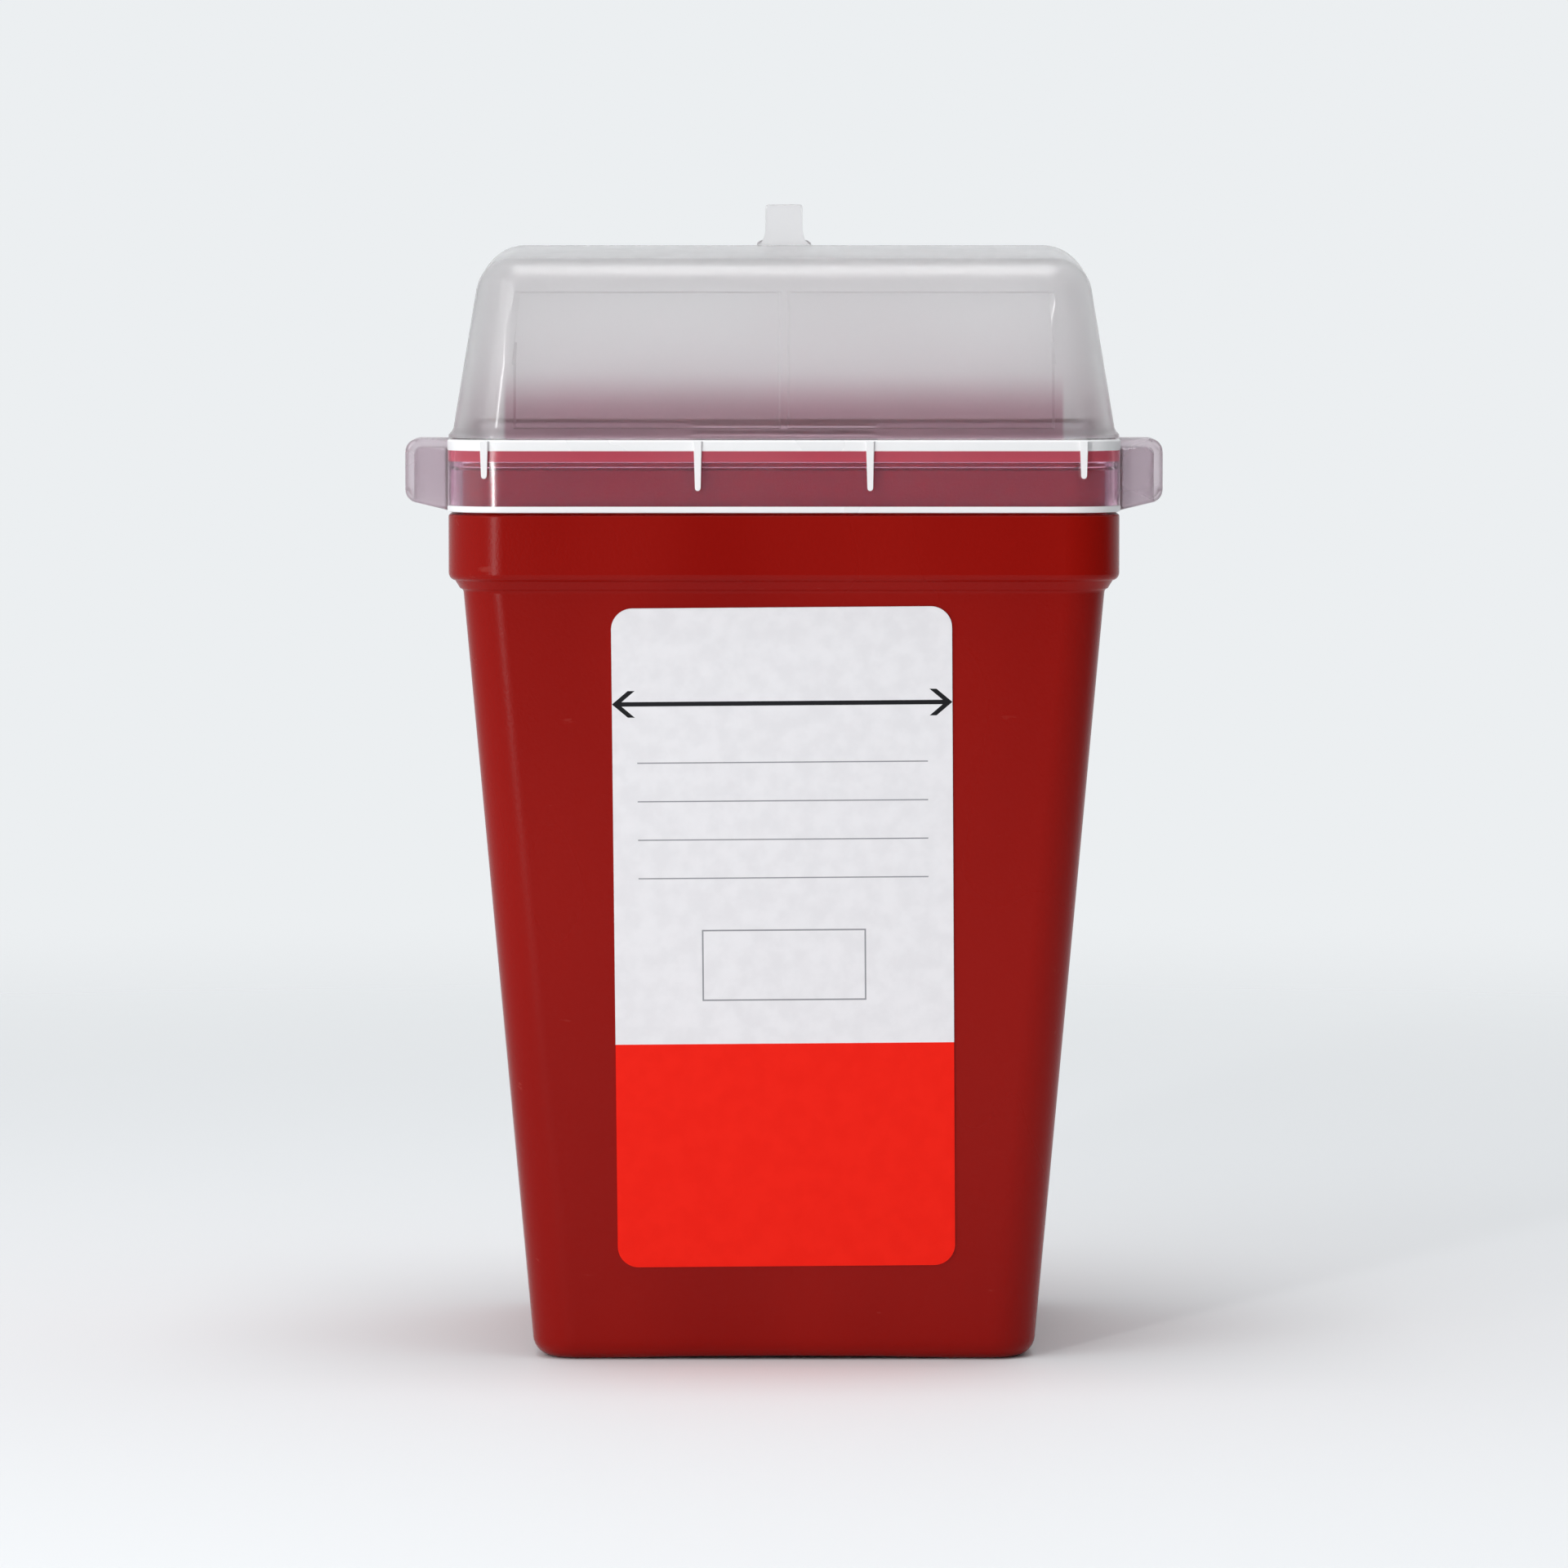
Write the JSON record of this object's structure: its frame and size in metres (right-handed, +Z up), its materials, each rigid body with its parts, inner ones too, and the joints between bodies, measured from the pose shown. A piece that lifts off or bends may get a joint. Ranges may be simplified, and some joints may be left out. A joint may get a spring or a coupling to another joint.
{
  "type": "sharps container",
  "caption": "Square tapered sharps tub with a stepped collar, a push-fit translucent lid frame with grip ears, and a rear-hinged hood with a thumb tab.",
  "frame": {"origin": "centre of the tub's flat underside", "axes": "+Z up, front with the label faces -Y, +X to the right seen from the front"},
  "size_m": [0.1072, 0.1053, 0.1646],
  "materials": {
    "tub_plastic": "red polypropylene, satin moulded surface",
    "frame_plastic": "translucent natural polypropylene, milky",
    "hood_plastic": "translucent natural polypropylene, frosted",
    "label_paper": "white film label, satin"
  },
  "bodies": {
    "container": {"tub": "tub_plastic", "lid_frame": "frame_plastic", "label": "label_paper"},
    "hood": {"hood": "hood_plastic"}
  },
  "joints": [
    {"name": "hood_hinge", "type": "hinge", "parent": "container", "child": "hood", "pos_m": [0, 0.05195, 0.13425], "axis": [-1, 0, 0], "range_deg": [0, 110]}
  ]
}
